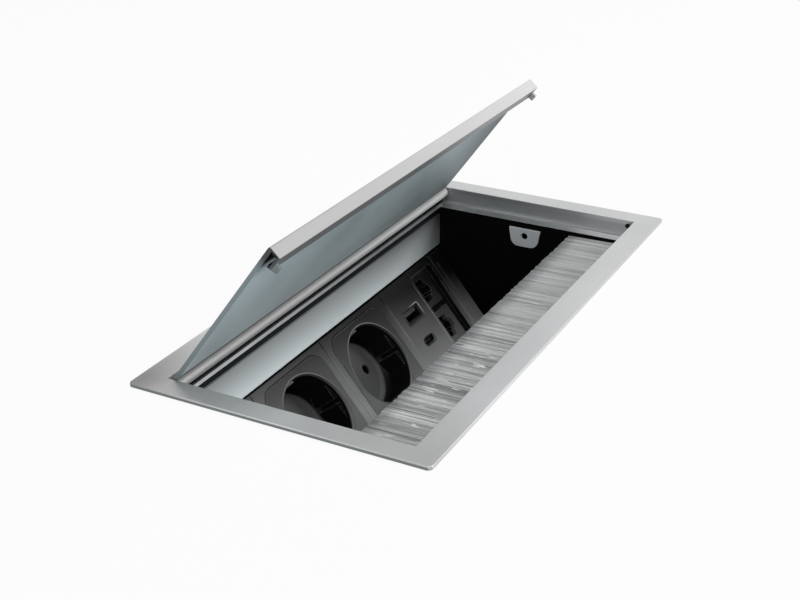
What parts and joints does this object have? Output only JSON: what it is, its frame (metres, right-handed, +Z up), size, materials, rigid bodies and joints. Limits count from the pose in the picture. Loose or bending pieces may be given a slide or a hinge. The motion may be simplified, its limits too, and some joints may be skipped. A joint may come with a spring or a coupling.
{
  "type": "desk socket module",
  "caption": "Flush-mounted desk power box: aluminium frame, hinged lid held half open, cable brush and a tilted strip of mains, charging and data sockets.",
  "frame": {"origin": "centre of the frame's opening, in the plane of the desk top under the flange", "axes": "+X along the box, +Y towards the hinge, +Z up out of the desk"},
  "size_m": [0.25, 0.126, 0.1418],
  "materials": {
    "frame_aluminium": "fine satin anodised",
    "lid_aluminium": "fine satin anodised",
    "trim_aluminium": "satin anodised",
    "holder_aluminium": "mill finish",
    "brush_fibre": "grey nylon bristles",
    "black_steel": "matt black powder coat",
    "black_plastic": "fine moulded texture",
    "cover_graphite": "satin moulded",
    "insert_graphite": "satin face, glossier well",
    "jack_graphite": "satin moulded",
    "tab_grey": "smooth light grey",
    "steel_screw": "black oxide",
    "steel_pin": "ground",
    "bush_plastic": "smooth",
    "rubber": "soft black",
    "brass": "bright",
    "spring_steel": "nickel plated",
    "block_plastic": "grey moulded",
    "shell_steel": "nickel plated",
    "tongue_plastic": "grey moulded",
    "circuit_board": "green board",
    "gold": "gold plated"
  },
  "bodies": {
    "root": {"bezel": "frame_aluminium", "blank_cover": "cover_graphite", "box_tray": "black_steel", "brush_bristles": "brush_fibre", "brush_holder": "holder_aluminium", "contact_sleeves_1": "brass", "contact_sleeves_2": "brass", "data_frame": "cover_graphite", "data_grommet": "rubber", "earth_clip_1": "spring_steel", "earth_clip_2": "spring_steel", "earth_strap": "spring_steel", "end_cap_left": "cover_graphite", "end_cap_right": "cover_graphite", "end_plate_left": "black_plastic", "end_plate_right": "black_plastic", "end_plate_screws": "steel_screw", "fixing_tab_left": "tab_grey", "fixing_tab_right": "tab_grey", "frame_grub_screws": "steel_screw", "hinge_pin_left": "steel_pin", "hinge_pin_right": "steel_pin", "jack_contacts": "gold", "keystone_jack_1": "jack_graphite", "keystone_jack_2": "jack_graphite", "live_busbar": "brass", "mains_grommet": "rubber", "neutral_busbar": "brass", "rail_screws": "steel_screw", "rear_trim": "trim_aluminium", "socket_cover_1": "cover_graphite", "socket_cover_2": "cover_graphite", "socket_insert_1": "insert_graphite", "socket_insert_2": "insert_graphite", "strip_apron": "black_steel", "strip_bracket_left": "black_steel", "strip_bracket_right": "black_steel", "strip_rail_bottom": "black_steel", "strip_rail_top": "black_steel", "terminal_block": "block_plastic", "usb_a_shell": "shell_steel", "usb_a_tongue": "tongue_plastic", "usb_board": "circuit_board", "usb_c_shell": "shell_steel", "usb_c_tongue": "tongue_plastic", "usb_cover": "cover_graphite"},
    "lid": {"lid_panel": "lid_aluminium", "lid_buffers": "rubber", "hinge_bush_left": "bush_plastic", "hinge_bush_right": "bush_plastic"}
  },
  "joints": [
    {"name": "lid_hinge", "type": "hinge", "parent": "root", "child": "lid", "pos_m": [0, 0.049, -0.0012], "axis": [-1, 0, 0], "range_deg": [-54, 41]}
  ]
}
